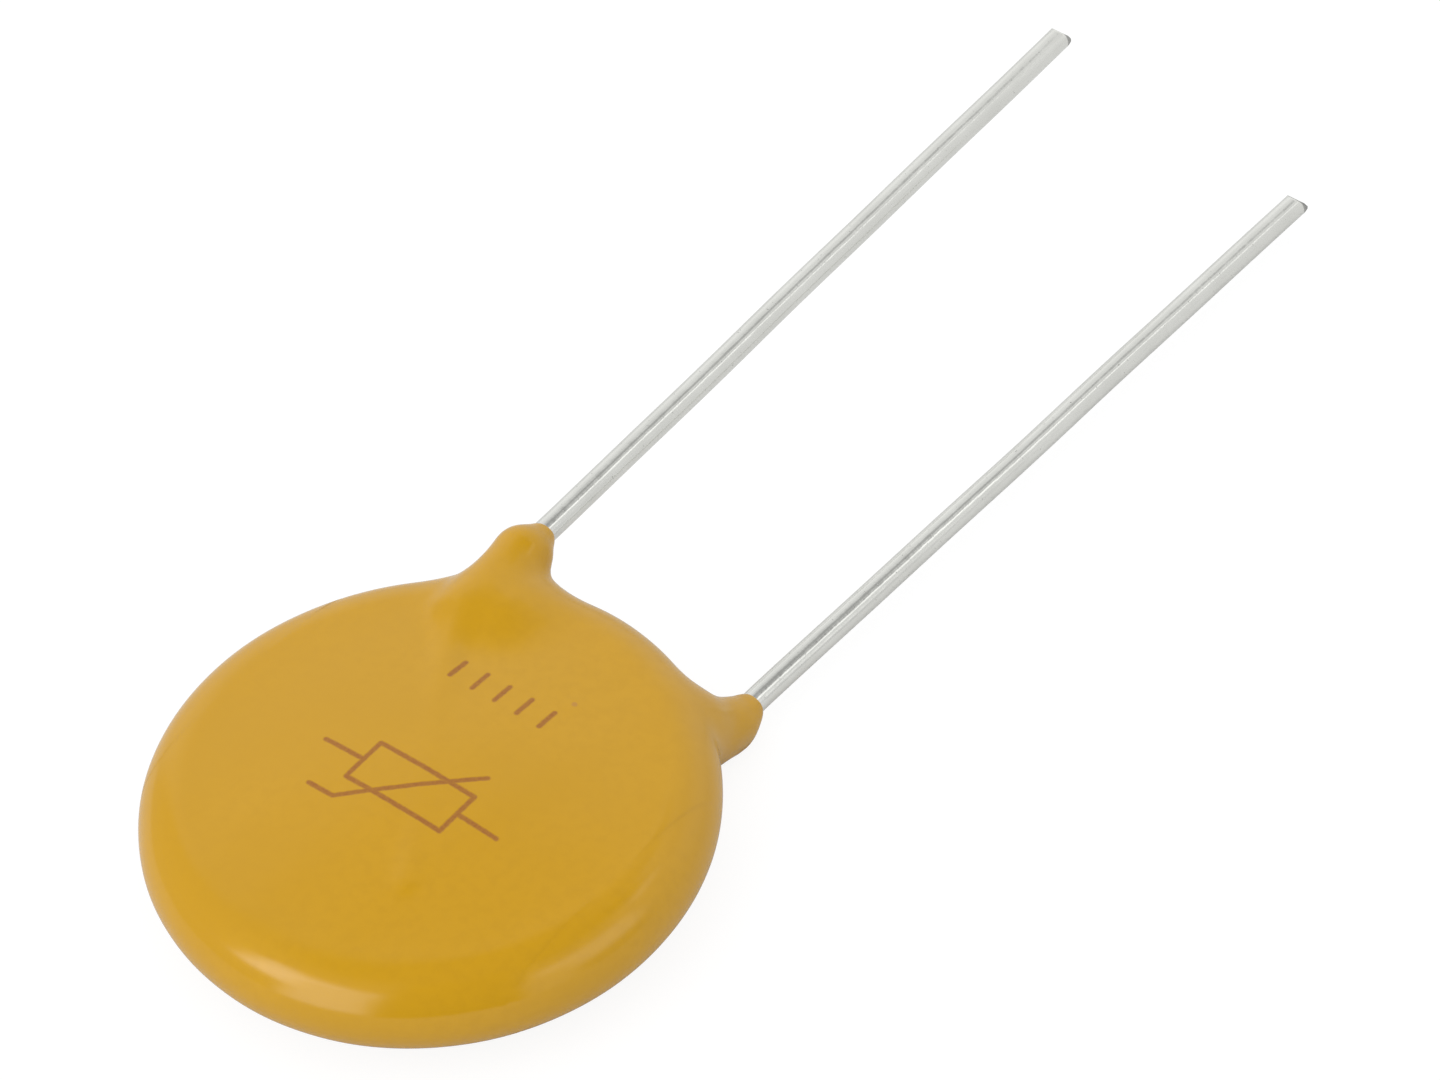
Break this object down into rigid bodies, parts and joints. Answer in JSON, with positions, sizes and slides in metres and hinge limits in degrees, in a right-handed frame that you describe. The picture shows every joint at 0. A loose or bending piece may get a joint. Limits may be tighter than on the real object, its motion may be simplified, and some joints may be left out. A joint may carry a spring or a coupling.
{
  "type": "metal oxide varistor",
  "caption": "Round resin-dipped varistor disc with gently domed faces, a soft ridge over each soldered wire and long straight tinned wires that leave its rim side by side.",
  "frame": {"origin": "on the surface the part lies on, under the middle of its outline", "axes": "+Y along the wires, from the disc towards their cut tips; +Z out of the front face, the one with the -X wire; the back face is down"},
  "size_m": [0.022, 0.0584, 0.0058],
  "materials": {
    "resin_coat": "gloss",
    "zinc_oxide": "matte",
    "fired_silver": "satin",
    "tinned_wire": "gloss",
    "solder": "satin"
  },
  "bodies": {
    "root": {"coating": "resin_coat", "ceramic_disc": "zinc_oxide", "front_electrode": "fired_silver", "back_electrode": "fired_silver", "front_lead": "tinned_wire", "back_lead": "tinned_wire", "front_solder": "solder", "back_solder": "solder"}
  },
  "joints": []
}
